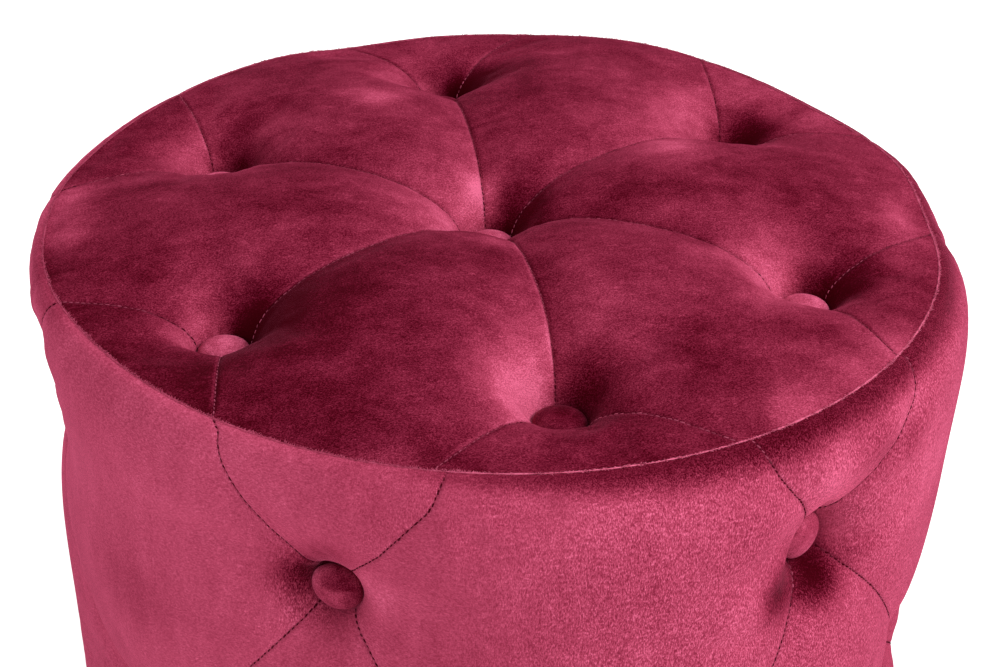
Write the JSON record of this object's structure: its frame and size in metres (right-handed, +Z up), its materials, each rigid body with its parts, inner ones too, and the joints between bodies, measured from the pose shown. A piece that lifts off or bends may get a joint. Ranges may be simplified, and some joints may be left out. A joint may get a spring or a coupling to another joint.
{
  "type": "tufted tuffet",
  "caption": "Round drum-shaped footstool in velvet, deep-buttoned over the top and the side, on short feet.",
  "frame": {"origin": "on the floor under the drum's axis, at the bottom centre of the bounding box", "axes": "+Z up along the drum's axis; an outer button of the top lies towards -Y"},
  "size_m": [0.446, 0.446, 0.4311],
  "materials": {
    "velvet": "cut-pile velvet, burgundy raspberry",
    "button_velvet": "velvet stretched over a button shell",
    "plywood": "raw birch plywood",
    "softwood": "planed pine",
    "fibreboard": "hardboard, raw",
    "foam": "open-cell upholstery foam",
    "wadding": "polyester fibre wadding",
    "twine": "waxed nylon tufting twine",
    "dust_cloth": "black non-woven cloth",
    "foot_wood": "dark stained beech",
    "glide_plastic": "nylon glide",
    "zinc_steel": "zinc plated",
    "steel_wire": "bright wire"
  },
  "bodies": {
    "root": {"base_board": "plywood", "button_eyes": "steel_wire", "cover_staples": "steel_wire", "drum_wall": "fibreboard", "dust_cover": "dust_cloth", "dust_cover_staples": "steel_wire", "foot_1": "foot_wood", "foot_2": "foot_wood", "foot_3": "foot_wood", "foot_4": "foot_wood", "foot_studs": "zinc_steel", "foot_tee_nuts": "zinc_steel", "glide_1": "glide_plastic", "glide_2": "glide_plastic", "glide_3": "glide_plastic", "glide_4": "glide_plastic", "post_1": "softwood", "post_2": "softwood", "post_3": "softwood", "post_4": "softwood", "post_5": "softwood", "post_6": "softwood", "post_screws": "steel_wire", "side_button_lower_1": "button_velvet", "side_button_lower_2": "button_velvet", "side_button_lower_3": "button_velvet", "side_button_lower_4": "button_velvet", "side_button_lower_5": "button_velvet", "side_button_lower_6": "button_velvet", "side_button_middle_1": "button_velvet", "side_button_middle_2": "button_velvet", "side_button_middle_3": "button_velvet", "side_button_middle_4": "button_velvet", "side_button_middle_5": "button_velvet", "side_button_middle_6": "button_velvet", "side_button_upper_1": "button_velvet", "side_button_upper_2": "button_velvet", "side_button_upper_3": "button_velvet", "side_button_upper_4": "button_velvet", "side_button_upper_5": "button_velvet", "side_button_upper_6": "button_velvet", "side_cover": "velvet", "side_foam": "foam", "side_twine": "twine", "side_wadding": "wadding", "stiffening_ring": "plywood", "top_board": "plywood", "top_button_1": "button_velvet", "top_button_2": "button_velvet", "top_button_3": "button_velvet", "top_button_4": "button_velvet", "top_button_5": "button_velvet", "top_button_6": "button_velvet", "top_button_centre": "button_velvet", "top_cover": "velvet", "top_foam": "foam", "top_twine": "twine", "top_wadding": "wadding", "twine_pins": "steel_wire"}
  },
  "joints": []
}
